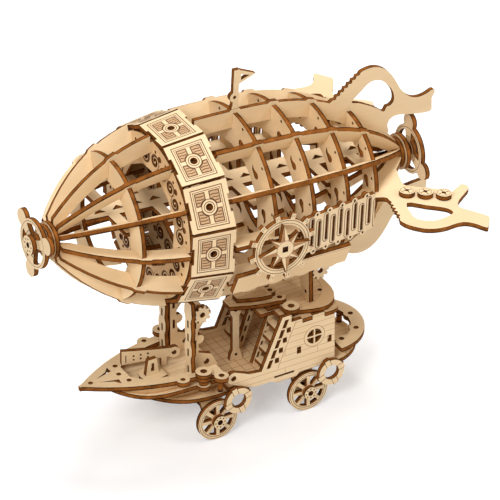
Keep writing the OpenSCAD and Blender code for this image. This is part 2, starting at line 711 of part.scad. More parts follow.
module mast_gears() {
    color(face_ply) gondola() both_sides() {
        translate([mast_x + half + seat_gap + gear_radius, -11 - ply - lap_gap,
            belt_floor(mast_x) - 10]) upright(ply) gear_outline();
        translate([strut_x + ply + gear_radius + seat_gap, -13.5,
            max(rib_floor(strut_x) - 4.2, roof_upper_top + gear_radius + seat_gap)])
            upright(ply) gear_outline();
    }
}

// Rear strut frame under the bottom rib
module rear_strut() {
    base = roof_upper_top;
    top = rib_floor(strut_x + ply) + 1.6;
    color(warm_ply) gondola() translate([strut_x, 0, 0]) cross(ply) difference() {
        polygon([[-16.6, base], [-10.2, base], [-7.4, base + 8], [-6.4, top - 6], [6.4, top - 6],
            [7.4, base + 8],
            [10.2, base], [16.6, base], [16.2, top - 4], [13, top], [-13, top], [-16.2, top - 4]]);
        translate([-half - lap_gap, rib_floor(strut_x + ply) - lap_gap - 0.4]) square([slot, 6]);
        for (s = [-1, 1]) translate([13.2 * s, base + 5]) circle(r = 1, $fn = 16);
    }
}

// Side walls with skirt and stair flank
module wall_outline() {
    difference() {
        union() {
            polygon(turned([[-13.6, 31.4], [-9, 36.6], [-6, 35.4], [-2, 33.6], [5.2, 32.6],
                [17.4, 61.4], [22.6, 61.4],
                [22.6, wall_top], [29, wall_top], [29, roof_z - seat_gap], [35, roof_z - seat_gap],
                [35, wall_top], [42, wall_top], [42, roof_z - seat_gap], [wall_end, roof_z - seat_gap],
                [wall_end, 25.5], [27.4, 25.3], [25.6, 23.3], [14, 23], [11, 24.8], [3, 24.6], [-2, 25.6],
                [-8, 28.4]]));
            translate([-11, 33.8]) circle(r = 3.5);
        }
        translate([-11, 33.8]) circle(r = 1.5);
        difference() {
            translate([36.1, 44.2]) circle(r = 4.3);
            translate([36.1, 44.2]) square([0.9, 12], center = true);
            translate([36.1, 44.2]) square([12, 0.9], center = true);
        }
        translate([27.1, 38.6]) square([2.4, 4], center = true);
        translate([45, 40]) square([2.4, 4], center = true);
        translate([12.6, 26.2]) square([11.6, 1.1]);
        for (i = [0 : 4]) translate([9.2 + 2.28 * i, 35.4 + 5.4 * i])
            polygon([[-1.1, -2.3], [1.1, -2.3], [2.9, 2.3], [0.7, 2.3]]);
        for (i = [0 : 3]) translate([14.2 + 2.28 * i, 36.6 + 5.4 * i]) square([2.4, 3], center = true);
    }
}
module wall_near() { color(face_ply) gondola() translate([0, -wall_inner - half, 0]) upright(ply)
    wall_outline(); }
module wall_far() { color(face_ply) gondola() translate([0, wall_inner + half, 0]) upright(ply)
    wall_outline(); }
module rear_wall() {
    color(warm_ply) gondola() translate([wall_end - 3 * ply, 0, 0]) cross(ply) difference() {
        translate([-wall_inner + seat_gap, floor_top])
            square([2 * (wall_inner - seat_gap), roof_z - seat_gap - floor_top]);
        translate([-5, floor_top + 3]) square([10, 15]);
    }
}

// Stairs
stair_y = 8.2;
module stair_stringers() {
    color(warm_ply) gondola() both_sides() translate([0, -stair_y, 0]) upright(ply) difference() {
        polygon([[8.2, cabin_top], [12, cabin_top], [20.7, roof_z - seat_gap], [17.6, roof_z - seat_gap]]);
        for (i = [0 : 3]) translate([11.2 + 1.95 * i, cabin_top + 5 + 5.6 * i])
            polygon([[-0.6, -1.6], [0.6, -1.6], [1.6, 1.6], [0.4, 1.6]]);
    }
}
module stair_treads() {
    outer = wall_inner - seat_gap;
    inner = stair_y + half + seat_gap;
    color(face_ply) gondola() both_sides() for (i = [0 : 3])
        translate([9.6 + 2.3 * i, -outer, cabin_top + 1.5 + 6.8 * i]) cube([4.2, outer - inner, 2]);
}

// Canopy, column and roof
module canopy_edge(front, rear, width) {
    n = 8;
    edge = [for (i = [0 : n]) let (u = i / n) [front + (rear - front) * u,
        width / 2 * (0.34 + 0.66 * sin(90 * u))]];
    polygon(mirrored(edge));
}
module canopy_lower() {
    color(face_ply) gondola() translate([0, 0, canopy_z]) linear_extrude(ply) difference() {
        union() {
            canopy_edge(-1.6, 24, 21);
            for (s = [-1, 1]) translate([25, 8 * s]) circle(r = 3.4);
            translate([22, -9]) square([6, 18]);
        }
        for (s = [-1, 1]) translate([25, 8 * s]) circle(r = 1.4);
    }
}
module canopy_upper() {
    color(warm_ply) gondola() translate([0, 0, canopy_upper_z]) linear_extrude(ply) difference() {
        union() {
            canopy_edge(3.4, 21, 15);
            for (s = [-1, 1]) translate([22, 3.4 * s]) circle(r = 2.8);
        }
        for (s = [-1, 1]) translate([22, 3.4 * s]) circle(r = 1.3);
    }
}
module column() {
    tall = canopy_z - seat_gap - cabin_top;
    color(face_ply) gondola() translate([3.4, 0, cabin_top]) upright(ply) difference() {
        polygon([[-3.6, 0], [3.6, 0], [3, 4], [1.9, 6], [1.9, tall - 6], [3.2, tall - 3.6], [3.2, tall],
            [-3.2, tall], [-3.2, tall - 3.6], [-1.9, tall - 6], [-1.9, 6], [-3, 4]]);
        for (z = [3, tall - 2.4]) translate([0, z]) circle(r = 0.8, $fn = 16);
    }
}
module roof_lower() {
    reach = wall_inner - seat_gap;
    color(face_ply) gondola() translate([0, 0, roof_z]) linear_extrude(ply - lap_gap) union() {
        translate([12.6, -10.4]) square([12, 20.8]);
        translate([20.4, -reach]) square([wall_end - 20.4, 2 * reach]);
        translate([29 + seat_gap, -wall_outer]) square([6 - 2 * seat_gap, 2 * wall_outer]);
        polygon(mirrored([[42 + seat_gap, 25], [47, 25], [49.4, 24.2], [51, 22.4], [51.8, 20], [51.8, 0]]));
    }
}
module roof_upper() {
    color(warm_ply) gondola() translate([0, 0, roof_upper_z]) linear_extrude(ply) difference() {
        union() {
            translate([17, -10]) square([8, 20]);
            polygon(mirrored([[23.4, 20], [30, 20.4], [36, 22.4], [41, 23.4], [45, 23], [48.6, 21],
                [51.4, 18],
                [53.4, 14], [54.6, 9], [54.8, 4], [54.8, 0]]));
        }
        for (s = [-1, 1]) translate([48, 9 * s]) circle(r = 1.2);
    }
}

// Stern gallery, posts and bollards
lobes = [[-72, 19], [-36.5, gallery_radius - 4.3], [0, gallery_radius - 4.3],
    [36.5, gallery_radius - 4.3], [72, 19]];
module stern_gallery() {
    color(face_ply) gondola() translate([stern_x + 3, 0, floor_top + ply * 2]) linear_extrude(ply)
        difference() {
        union() {
            difference() {
                circle(r = gallery_radius, $fn = 96);
                circle(r = gallery_radius - 7);
                translate([-60 + 1.4, -30]) square([60, 60]);
            }
            for (p = lobes) rotate(p[0]) translate([p[1], 0]) circle(r = 3.6);
        }
        for (p = lobes) rotate(p[0]) translate([p[1], 0]) circle(r = 1.4);
        translate([-60 + 1.4, -30]) square([60, 60]);
    }
}
module posts() {
    color(warm_ply) gondola() {
        for (a = [-55, -18.5, 18.5, 55]) translate([stern_x + 3, 0, floor_top]) rotate(a)
            translate([gallery_radius - 6.2, 0, 0]) cylinder(r = 1.5, h = 2 * ply - lap_gap);
        both_sides() {
            translate([ring_x, -ring_y, foredeck_top]) cylinder(r = 2.4, h = ply - lap_gap);
            translate([lobe_x, 1.2 - lobe_y, gunwale_top - ply - lap_gap - 7.4]) cylinder(r = 1.5, h = 7.4);
            translate([ring_x, -ring_y, gunwale_top + lap_gap]) difference() {
                cylinder(r = 4.2, h = ply);
                cylinder(r = 1.8, h = 3 * ply, center = true);
            }
            translate([26, -18, roof_upper_top + lap_gap]) difference() {
                cylinder(r = 4.4, h = ply);
                cylinder(r = 1.8, h = 3 * ply, center = true);
            }
        }
    }
}

// Running gear
module bracket(x) {
    top = floor_z - lap_gap;
    translate([x, -16, 0]) upright(ply) difference() {
        polygon([[-7, top], [-3.4, wheel_radius - 3], [3.4, wheel_radius - 3], [7, top]]);
        translate([0, wheel_radius]) circle(r = axle_radius + run_gap);
    }
}
module axle_brackets() {
    color(warm_ply) gondola() both_sides() {
        bracket(front_axle_x);
        bracket(rear_axle_x);
    }
}
module wheel_outline() {
    difference() {
        union() {
            difference() { circle(r = wheel_radius, $fn = 96); circle(r = wheel_radius - 2.6, $fn = 96); }
            circle(r = 3.8);
            for (i = [0 : 7]) rotate(i * 45) translate([3, -0.95]) square([wheel_radius - 4.4, 1.9]);
        }
        circle(r = axle_radius);
    }
}
module hub_outline() {
    difference() {
        circle(r = 3.6);
        circle(r = axle_radius);
        for (i = [0 : 7]) rotate(i * 45) translate([2.6, 0]) circle(r = 0.42, $fn = 12);
    }
}
module wheel_pair(x) {
    both_sides() {
        translate([x, -wheel_outer + half, wheel_radius]) upright(ply) wheel_outline();
        translate([x, -wheel_outer - half, wheel_radius]) upright(ply) hub_outline();
    }
}
module axle(x) {
    length = 2 * (wheel_outer + ply);
    translate([x, length / 2, wheel_radius]) rotate([90, 0, 0]) cylinder(r = axle_radius, h = length);
}
module front_wheels() { color(face_ply) gondola() wheel_pair(front_axle_x); }
module front_axle() { color(dark_ply) gondola() axle(front_axle_x); }
module rear_wheels() { color(face_ply) gondola() wheel_pair(rear_axle_x); }
module rear_axle() { color(dark_ply) gondola() axle(rear_axle_x); }
module buoy_outline() {
    difference() {
        union() {
            circle(r = buoy_radius - 0.7);
            for (i = [0 : 3]) rotate(i * 90 + 20) translate([buoy_radius - 3, -1.5]) square([3, 3]);
        }
        circle(r = buoy_radius - 3.8);
    }
}
module lifebuoys() {
    color(face_ply) gondola() both_sides() for (p = [[-9.4, 21.4], [45, 20.6]])
        translate([p[0], -wall_outer - lap_gap - half, p[1]]) upright(ply) buoy_outline();
}

rib_top();
rib_bottom();
rib_near();
rib_far();
ribs_upper();
ribs_lower();
nose_former();
bulkhead_front();
bulkhead_rear();
former_1();
former_2();
former_3();
former_4();
belt_panels();
nose_disc();
nose_plate();
tail_disc();
nose_propeller();
nose_shaft();
tail_propeller();
tail_shaft();
flag();
inner_deck();
wing_buttons();
compass_rings();
compass_stars();
compass_pegs();
side_grilles();
lower_fascias();
gunwale();
bow_spacer();
foredeck();
hull_spacer();
floor_plate();
cabin_floor();
bulwark();
turret();
mast_fronts();
mast_sides();
mast_gears();
rear_strut();
wall_near();
wall_far();
rear_wall();
stair_stringers();
stair_treads();
canopy_lower();
canopy_upper();
column();
roof_lower();
roof_upper();
stern_gallery();
posts();
axle_brackets();
front_wheels();
front_axle();
rear_wheels();
rear_axle();
lifebuoys();
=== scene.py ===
"""Looks of a plywood airship model: bare laser-cut birch ply with burnt edges and engraved lines."""

import json
import math

import bpy
import numpy as np
from mathutils import Matrix, Vector

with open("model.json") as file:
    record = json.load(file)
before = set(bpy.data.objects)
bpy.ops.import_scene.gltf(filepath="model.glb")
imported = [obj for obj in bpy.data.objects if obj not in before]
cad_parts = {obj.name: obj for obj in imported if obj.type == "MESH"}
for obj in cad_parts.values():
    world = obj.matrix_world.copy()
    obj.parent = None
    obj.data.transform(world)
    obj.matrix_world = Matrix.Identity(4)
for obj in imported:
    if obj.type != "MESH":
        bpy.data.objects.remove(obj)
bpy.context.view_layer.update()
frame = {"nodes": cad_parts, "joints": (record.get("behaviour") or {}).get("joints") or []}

bl_info = {
    "name": "Plywood Airship Looks",
    "version": (1, 0, 0),
    "blender": (4, 5, 0),
    "location": "View3D > Sidebar > Airship",
    "description": "Dresses the packed airship model in engraved plywood",
    "category": "Object",
}

# One millimetre in metres, and the millimetres in a metre
MM = 0.001
PER_METRE = 1000.0

# Nodes and joints of the frame
NODE = frame["nodes"]
JOINT = {joint["name"]: joint for joint in frame["joints"]}

# Groups of like nodes
RIBS = ["rib_top", "rib_bottom", "rib_near", "rib_far", "ribs_upper", "ribs_lower"]
RINGS = ["nose_former", "former_1", "former_2", "former_3", "former_4"]
BULKHEADS = ["bulkhead_front", "bulkhead_rear"]
RODS = ["nose_shaft", "tail_shaft", "compass_pegs", "front_axle", "rear_axle"]

# Zero of the envelope and the middles of the axles, in millimetres, as all sizes of the engraving are
AXIS_X = JOINT["nose_propeller_spin"]["pos_m"][0] / MM
AXIS_Z = JOINT["nose_propeller_spin"]["pos_m"][2] / MM
FRONT_AXLE = [value / MM for value in JOINT["front_axle_roll"]["pos_m"]]
REAR_AXLE = [value / MM for value in JOINT["rear_axle_roll"]["pos_m"]]

# Tilt of the envelope, and the angle from one rib to the next
TILT = math.radians(3)
RIB_PITCH = math.radians(30)

# Planks: distance between butt joints, their step from row to row, and the width of a side board
PLANK_LENGTH = 57.0
PLANK_STAGGER = 19.0
SIDE_BOARD = 7.0

# Cabin floor: how much darker a tile's joint is than a plank line
TILE_EXTRA = 0.1

# Roof: where its round end starts, how far that end is squashed, and the edge of its plain border
ROOF_ROUND_X = 33.0
ROOF_SQUASH = 1.06
ROOF_BORDER = 18.6

# Side walls: foot, slope and width of the stair flank, top of the skirt, and the ring round the window
STAIR_FOOT_X = 5.2
STAIR_FOOT_Z = 32.6
STAIR_SLOPE = 0.4236
STAIR_WIDTH = 9.9
SKIRT_TOP = 31.5
WINDOW_X = 36.1
WINDOW_Z = 44.2
WINDOW_RING = 6.0
PLANK_START = 6.2
WALL_TINT = 0.7

# Belt panels: frame, fields between the arms of a cross, hatching, and rings round the hole
BELT_X = -35.1
FRAME_HALF_LENGTH = 8.3
FRAME_HALF_WIDTH = 9.7
FRAME_TAPER = 0.03
FRAME_STEP = 1.1
FIELD_INSET = 2.0
FIELD_RING = 4.4
FIELD_TINT = 0.4
CROSS_HALF = 1.3
HATCH_INSET = 0.5
HATCH_PITCH = 1.5
HATCH_WAVES = 2.2
HATCH_SWAY = 0.12
PANEL_RINGS = (4.0, 2.7)
PANEL_HOLE = 1.9

# Bulkheads: place and turn of the two scrolls between two ribs, a scroll's growth and rim, and a round hole
SCROLLS = ((32.4, 4.2, 0), (33.2, -4.0, 200))
SCROLL_SWEEP = math.radians(430)
SCROLL_LAPS = 2
SCROLL_CORE = 0.3
SCROLL_GROWTH = 2.5
SCROLL_RIM = 0.75
SCROLL_SWELL = 0.3
SCROLL_TAIL = 1.6
SCROLL_TAPER = 1.7
SCROLL_HOLE = (37.4, -0.6)
SCROLL_HOLE_RIM = 1.7

# Compass wheels: middle, circles, ticks on the pegs of the ring, and the star inside it
COMPASS_X = -1.0
COMPASS_TURN = math.radians(12)
COMPASS_RINGS = (13.3, 14.9)
PEG_PITCH = math.radians(30)
PEG_ROOT = 16.6
PEG_END = 18.1
PEG_TICK = 0.55
STAR_TURN = math.radians(6)
STAR_PITCH = math.radians(45)
STAR_HUB = 4.8
STAR_FIELD = 4.9
STAR_RIDGE = 4.6
STAR_TINT = 0.62

# Side grilles: middle, stretch by the lean of the plate, first slot before the middle, and a slot's sizes
GRILLE_X = 36.0
GRILLE_STRETCH = 1.0126
FIRST_SLOT = 18.4
SLOT_PITCH = 4.6
SLOT_LIFT = 1.2
SLOT_DROP = 2.4
SLOT_HALF = 6.7
SLOT_RIM = 1.5

# Circles on the wheels' rims and round the envelope's axis, and the line on the lower fascias
WHEEL_RINGS = (9.4, 10.6)
HUB_RINGS = (7.0, 11.8)
FASCIA_LINE_Z = -15.2
FASCIA_TINT = 0.8

# Wing buttons: how many, the first one, the step to the next, and their cross and circle
BUTTON_COUNT = 3
BUTTON_PLACE = (79.6, 40.6)
BUTTON_STEP = (7.8, 5.0)
BUTTON_CROSS = 2.7
BUTTON_RING = 3.2

# Lifebuoys: middles, turn and pitch of the straps, half a strap's width, and the reach of its lines
BUOYS = ((-9.4, 21.4), (45.0, 20.6))
STRAP_TURN = math.radians(20)
STRAP_PITCH = math.radians(90)
STRAP_HALF = 1.5
STRAP_REACH = 9.0

# Noise of a face: how fine it is along and across the grain, its detail and its roughness
GRAIN = {"along": 0.03, "across": 0.55, "detail": 4.0, "roughness": 0.6}
PATCH = {"along": 0.012, "across": 0.05, "detail": 2.0, "roughness": 0.5}
FLECK = {"along": 0.2, "across": 4.0, "detail": 2.0, "roughness": 0.5}

# Face: lightest and deepest share of its colour, and what each noise adds to tone, roughness and height
FACE_LIGHT = (1.03, 1.03, 1.03)
FACE_DEEP = (0.84, 0.78, 0.70)
FACE_TONE = 0.45
GRAIN_TONE = 0.55
PATCH_TONE = 0.7
FLECK_TONE = 0.25
FACE_ROUGHNESS = 0.62
GRAIN_ROUGHNESS = 0.2
LINE_ROUGHNESS = 0.2
GRAIN_HEIGHT = 0.2
FLECK_HEIGHT = 0.15
FACE_BUMP = 0.25
FACE_SPECULAR = 0.5

# Engraving: its heat, how that swings with the grain, and how soon it scorches and burns
HEAT = 0.9
HEAT_SWING = 0.4
SCORCH_GAIN = 1.7
BURN_GAIN = 2.0

# Cut edge: lightest and deepest share of its colour, its noises, and the scorched borders
EDGE_LIGHT = (1.22, 1.24, 1.2)
EDGE_DEEP = (0.06, 0.04, 0.03)
EDGE_TONE = 0.72
BLOTCH_SCALE = 220.0
BLOTCH_TONE = 1.3
FINE_SCALE = 1400.0
FINE_TONE = 0.5
BORDER_START = 0.42
BORDER_GAIN = 2.4
BORDER_TONE = 0.75
EDGE_ROUGHNESS = 0.7
FINE_ROUGHNESS = 0.2
EDGE_BUMP = 0.3
EDGE_SPECULAR = 0.06

# Depth of a bump on faces and edges, in metres
BUMP_DISTANCE = 0.2 * MM

# Plates: steps in a metre by which corners are matched, least cosine of a broad face, and least thickness
WELD_STEPS = 100000
BROAD_COSINE = 0.97
THINNEST = 1e-6

# Studio: sensor and reach of the camera, colours of the floor, and each lamp's place, target, size and power
SENSOR_WIDTH = 36
CAMERA_REACH = 60
FLOOR_PAINT = (0.80, 0.80, 0.80, 1)
FLOOR_GLOW = (0.95, 1.0, 1.08, 1)
LAMPS = {
    "key_lamp": ((-1.35, -1.0, 1.45), (0, 0, 0.08), 0.8, 27),
    "fill_lamp": ((1.3, -1.2, 1.3), (0, 0, 0.1), 1.0, 12),
    "top_lamp": ((0.25, 0.3, 1.9), (0, 0, 0.1), 0.8, 25),
}


class AirshipWood(bpy.types.PropertyGroup):
    """Colours and engraving sizes of the plywood."""

    pale: bpy.props.FloatVectorProperty(
        name="Pale face", description="Colour of a pale plywood face", subtype="COLOR",
        size=3, min=0, max=1, default=(0.87, 0.675, 0.425))
    warm: bpy.props.FloatVectorProperty(
        name="Warm face", description="Colour of a warmer plywood face", subtype="COLOR",
        size=3, min=0, max=1, default=(0.83, 0.60, 0.345))
    scorch: bpy.props.FloatVectorProperty(
        name="Scorched field", description="Colour of a lightly burnt field", subtype="COLOR",
        size=3, min=0, max=1, default=(0.42, 0.195, 0.068))
    burnt: bpy.props.FloatVectorProperty(
        name="Burnt line", description="Colour of an engraved line", subtype="COLOR",
        size=3, min=0, max=1, default=(0.045, 0.011, 0.002))
    edge: bpy.props.FloatVectorProperty(
        name="Cut edge", description="Colour of a laser-cut edge", subtype="COLOR",
        size=3, min=0, max=1, default=(0.27, 0.09, 0.017))
    # Hull side: a brown darker than the birch faces, painted shade for the spacer boards that sit in shadow
    # under the gunwale
    side: bpy.props.FloatVectorProperty(
        name="Hull side", description="Colour of the boards on the side of the hull", subtype="COLOR",
        size=3, min=0, max=1, default=(0.52, 0.30, 0.13))
    line: bpy.props.FloatProperty(
        name="Line width", description="Width of an engraved line in millimetres",
        min=0.1, max=1, default=0.36)
    faint: bpy.props.FloatProperty(
        name="Faint line", description="Darkness of a plank line beside a burnt line", subtype="FACTOR",
        min=0, max=1, default=0.5)
    plank: bpy.props.FloatProperty(
        name="Plank width", description="Width of an engraved plank in millimetres",
        min=1, max=8, default=3.6)
    tile: bpy.props.FloatProperty(
        name="Tile size", description="Size of an engraved floor tile in millimetres",
        min=2, max=10, default=5)


class AirshipStage(bpy.types.PropertyGroup):
    """Camera, floor and sky of the studio."""

    turn: bpy.props.FloatProperty(
        name="Turn", description="Camera turn about the vertical", subtype="ANGLE",
        default=math.radians(29.791))
    rise: bpy.props.FloatProperty(
        name="Rise", description="Camera height angle", subtype="ANGLE",
        default=math.radians(32.743))
    distance: bpy.props.FloatProperty(
        name="Distance", description="Camera distance", unit="LENGTH", default=3.08967)
    side: bpy.props.FloatProperty(
        name="Side", description="Sideways place of the camera", unit="LENGTH", default=0.010732)
    lift: bpy.props.FloatProperty(
        name="Lift", description="Upward place of the camera", unit="LENGTH", default=0.079074)
    lens: bpy.props.FloatProperty(
        name="Lens", description="Focal length in millimetres", unit="CAMERA", default=434.84)
    floor: bpy.props.FloatProperty(
        name="Floor", description="Size of the floor", unit="LENGTH", default=12)
    glow: bpy.props.FloatProperty(
        name="Floor glow", description="How far the floor is lifted to white in view", subtype="FACTOR",
        min=0, max=1, default=0.34)
    sky: bpy.props.FloatVectorProperty(
        name="Sky", description="Colour of the light from all round", subtype="COLOR",
        size=3, min=0, max=1, default=(1, 0.82, 0.62))
    sky_level: bpy.props.FloatProperty(
        name="Sky level", description="Strength of the light from all round", subtype="FACTOR",
        min=0, max=1, default=0.23)


# Shader sums

class Wire:
    """A shader socket that can be added, multiplied and compared."""

    def __init__(self, tree, socket=None):
        self.tree = tree
        self.socket = socket

    def make(self, kind, out=0, settings=None, **inputs):
        """Adds any node, feeds its inputs by name or by i and a number, and gives one output."""
        node = self.tree.nodes.new(kind)
        for name, value in (settings or {}).items():
            setattr(node, name, value)
        for name, value in inputs.items():
            key = int(name[1:]) if name[1:].isdigit() else name
            if isinstance(value, Wire):
                self.tree.links.new(value.socket, node.inputs[key])
            else:
                node.inputs[key].default_value = value
        return Wire(self.tree, node.outputs[out])

    def other(self, name):
        """Gives another output of the same node."""
        return Wire(self.tree, self.socket.node.outputs[name])

    def feed(self, shader, name):
        """Links the value to an input of a shader."""
        self.tree.links.new(self.socket, shader.inputs[name])

    def sum(self, operation, *others):
        """Adds one Math node."""
        inputs = {"i" + str(i): value for i, value in enumerate((self, *others))}
        return self.make("ShaderNodeMath", settings={"operation": operation}, **inputs)

    def __add__(self, other):
        return self.sum("ADD", other)

    def __sub__(self, other):
        return self.sum("SUBTRACT", other)

    def __rsub__(self, other):
        return -self + other

    def __mul__(self, other):
        return self.sum("MULTIPLY", other)

    def __truediv__(self, other):
        return self.sum("DIVIDE", other)

    def __rtruediv__(self, other):
        return self.make("ShaderNodeMath", settings={"operation": "DIVIDE"}, i0=other, i1=self)

    def __neg__(self):
        return self.sum("MULTIPLY", -1.0)

    def __abs__(self):
        return self.sum("ABSOLUTE")

    def __lt__(self, other):
        return self.sum("LESS_THAN", other)

    def __gt__(self, other):
        return self.sum("GREATER_THAN", other)

    def __or__(self, other):
        return self.sum("MAXIMUM", other)

    def __and__(self, other):
        return self.sum("MINIMUM", other)

    __radd__ = __add__
    __rmul__ = __mul__
    __ror__ = __or__
    __rand__ = __and__

    def root(self):
        """Square root."""
        return self.sum("SQRT")

    def sine(self):
        """Sine of an angle."""
        return self.sum("SINE")

    def angle(self, across):
        """Angle of a place with this value upward and the given value across."""
        return self.sum("ARCTAN2", across)

    def repeat(self, pitch):
        """Folds the value into steps of one pitch, centred on zero."""
        return self - (self / pitch).sum("ROUND") * pitch

    def near(self, value, width):
        """One where the value lies within half a width of the given value."""
        return abs(self - value) < width / 2

    def swing(self):
        """Shifts a value between zero and one so that its middle is zero."""
        return self - 0.5

    def held(self):
        """Keeps the value between zero and one."""
        return self.make("ShaderNodeClamp", Value=self)

    def mix(self, first, second):
        """Mixes two colours, with this value as the share of the second."""
        colours = [value if isinstance(value, Wire) else (*value, 1) for value in (first, second)]
        return self.make("ShaderNodeMix", out=2, settings={"data_type": "RGBA"},
                         i0=self, i6=colours[0], i7=colours[1])


def length(a, b):
    """Distance from the place where both values are zero."""
    return (a * a + b * b).root()


def any_of(masks):
    """The highest of the masks at each place."""
    joined = masks[0]
    for mask in masks[1:]:
        joined = joined | mask
    return joined


# Places on the model

def flat_places(wire):
    """X, Y and Z of the model in millimetres."""
    place = wire.make("ShaderNodeTexCoord", out="Object")
    first = place.make("ShaderNodeSeparateXYZ", out="X", Vector=place)
    return [value * PER_METRE for value in (first, first.other("Y"), first.other("Z"))]


def hull_places(wire):
    """X, Y and Z along the tilted envelope in millimetres."""
    x, y, z = flat_places(wire)
    x = x - AXIS_X
    z = z - AXIS_Z
    along = x * math.cos(TILT) - z * math.sin(TILT)
    above = x * math.sin(TILT) + z * math.cos(TILT)
    return along, y, above


def gondola_places(wire):
    """X from the gondola's own zero, Y and Z in millimetres."""
    x, y, z = flat_places(wire)
    return x - AXIS_X, y, z


# Engraved patterns: each gives a mask, up to one on a burnt line

def planks(along, across, wood):
    """Long planks with a few butt joints."""
    row = (across / wood.plank).sum("ROUND")
    seam = (across + wood.plank / 2).repeat(wood.plank).near(0, wood.line * 0.7)
    joint = (along + row * PLANK_STAGGER).repeat(PLANK_LENGTH).near(0, wood.line * 0.7)
    return (seam | joint) * wood.faint


def deck_planks(wire, wood):
    """Planks along a deck."""
    x, y, z = gondola_places(wire)
    return planks(x, y, wood)


def roof_planks(wire, wood):
    """Planks inside a plain border that follows the round end of the roof."""
    x, y, z = gondola_places(wire)
    past = (x - ROOF_ROUND_X) | 0.0
    border = (past * past + y * y * ROOF_SQUASH).root()
    rim = border.near(ROOF_BORDER, wood.line * 0.8) * wood.faint
    return (planks(x, y, wood) & (border < ROOF_BORDER)) | rim


def wall_planks(wire, wood):
    """Planks behind the stair flank and a ring round the window."""
    x, y, z = gondola_places(wire)
    flank = x - STAIR_FOOT_X - (z - STAIR_FOOT_Z) * STAIR_SLOPE
    window = length(x - WINDOW_X, z - WINDOW_Z)
    rows = planks(x, z, wood)
    boards = rows & (flank > STAIR_WIDTH) & (window > PLANK_START)
    skirt = rows & (z < SKIRT_TOP)
    edge = flank.near(STAIR_WIDTH, wood.line * 0.8) & (z > SKIRT_TOP)
    ring = window.near(WINDOW_RING, wood.line * 0.8)
    return boards | skirt | (edge | ring) * WALL_TINT


def cabin_planks(wire, wood):
    """Planks across the rear wall."""
    x, y, z = gondola_places(wire)
    return planks(y, z, wood)


def side_boards(wire, wood):
    """Upright joints between the boards on the side of the hull."""
    x, y, z = gondola_places(wire)
    return x.repeat(SIDE_BOARD).near(0, wood.line) * wood.faint


def floor_tiles(wire, wood):
    """Square tiles on the cabin floor."""
    x, y, z = gondola_places(wire)
    reach = abs(x.repeat(wood.tile)) | abs(y.repeat(wood.tile))
    return reach.near(wood.tile / 2, wood.line * 0.9) * (wood.faint + TILE_EXTRA)


def belt_frames(wire, wood):
    """A double frame, two rings and four hatched fields on each belt panel."""
    x, y, z = hull_places(wire)
    along = x - BELT_X
    across = length(y, z) * z.angle(y).repeat(RIB_PITCH).sine()
    ring = length(along, across)
    edge = (abs(along) - FRAME_HALF_LENGTH) | (abs(across) - (along * FRAME_TAPER + FRAME_HALF_WIDTH))
    arms = (abs(along) - CROSS_HALF) & (abs(across) - CROSS_HALF)
    field = (-edge - FIELD_INSET) & arms & (ring - FIELD_RING)
    sway = (along * HATCH_WAVES).sine() * HATCH_SWAY
    hatch = (field > HATCH_INSET) & (across + sway).repeat(HATCH_PITCH).near(0, wood.line * 1.4)
    lines = [edge.near(0, wood.line * 1.3), edge.near(-FRAME_STEP, wood.line * 0.8)]
    lines += [field.near(0, wood.line * 1.6), hatch, (field > 0) * FIELD_TINT]
    lines += [ring.near(radius, wood.line * 1.1) for radius in PANEL_RINGS]
    return any_of([*lines, ring < PANEL_HOLE])


def scroll_rims(wire, wood):
    """A burnt rim round each spiral and hole of the bulkheads, run out in a thin tail."""
    x, y, z = hull_places(wire)
    reach = length(y, z)
    turn = (y.angle(-z) - RIB_PITCH / 2).repeat(RIB_PITCH)
    outward = reach * turn.sum("COSINE")
    across = reach * turn.sine()
    masks = [length(outward - SCROLL_HOLE[0], across - SCROLL_HOLE[1]) < SCROLL_HOLE_RIM]
    for place_out, place_across, start in SCROLLS:
        a = outward - place_out
        b = across - place_across
        ring = length(a, b)
        sweep = (b.angle(a) - math.radians(start)).sum("WRAP", math.tau, 0.0)
        for lap in range(SCROLL_LAPS):
            share = (sweep + lap * math.tau) / SCROLL_SWEEP
            width = (share * SCROLL_SWELL + SCROLL_RIM) & ((SCROLL_TAIL - share) * SCROLL_TAPER)
            masks.append(abs(ring - SCROLL_CORE - share * SCROLL_GROWTH) < width)
    return any_of(masks)


def compass_lines(wire, wood):
    """Two circles on the ring and two ticks on each peg."""
    x, y, z = hull_places(wire)
    a = x - COMPASS_X
    ring = length(a, z)
    across = ring * (z.angle(a) - COMPASS_TURN).repeat(PEG_PITCH).sine()
    ticks = (ring > PEG_ROOT) & (ring < PEG_END) & abs(across).near(PEG_TICK, wood.line * 0.8)
    inner, outer = COMPASS_RINGS
    return ring.near(inner, wood.line * 0.8) | ring.near(outer, wood.line) | ticks


def star_lines(wire, wood):
    """One half of each star point is scorched."""
    x, y, z = hull_places(wire)
    a = x - COMPASS_X
    ring = length(a, z)
    turn = (z.angle(a) - STAR_TURN).repeat(STAR_PITCH)
    half = (turn > 0) & (ring > STAR_FIELD)
    ridge = (ring * turn.sine()).near(0, wood.line * 0.6) & (ring > STAR_RIDGE)
    return half * STAR_TINT | ridge | ring.near(STAR_HUB, wood.line * 0.6)


def grille_lines(wire, wood):
    """An outline round each slot."""
    x, y, z = hull_places(wire)
    along = (x - GRILLE_X) * GRILLE_STRETCH + FIRST_SLOT
    odd = abs((along / SLOT_PITCH).sum("ROUND").sum("MODULO", 2.0))
    past = (abs(z - SLOT_LIFT + odd * SLOT_DROP) - SLOT_HALF) | 0.0
    return length(along.repeat(SLOT_PITCH), past).near(SLOT_RIM, wood.line * 1.2)


def wheel_lines(wire, wood):
    """Circles on the rim of each wheel."""
    x, y, z = flat_places(wire)
    inner, outer = WHEEL_RINGS
    masks = []
    for place in (FRONT_AXLE, REAR_AXLE):
        ring = length(x - place[0], z - place[2])
        masks += [ring.near(inner, wood.line * 0.9), ring.near(outer, wood.line * 0.7)]
    return any_of(masks)


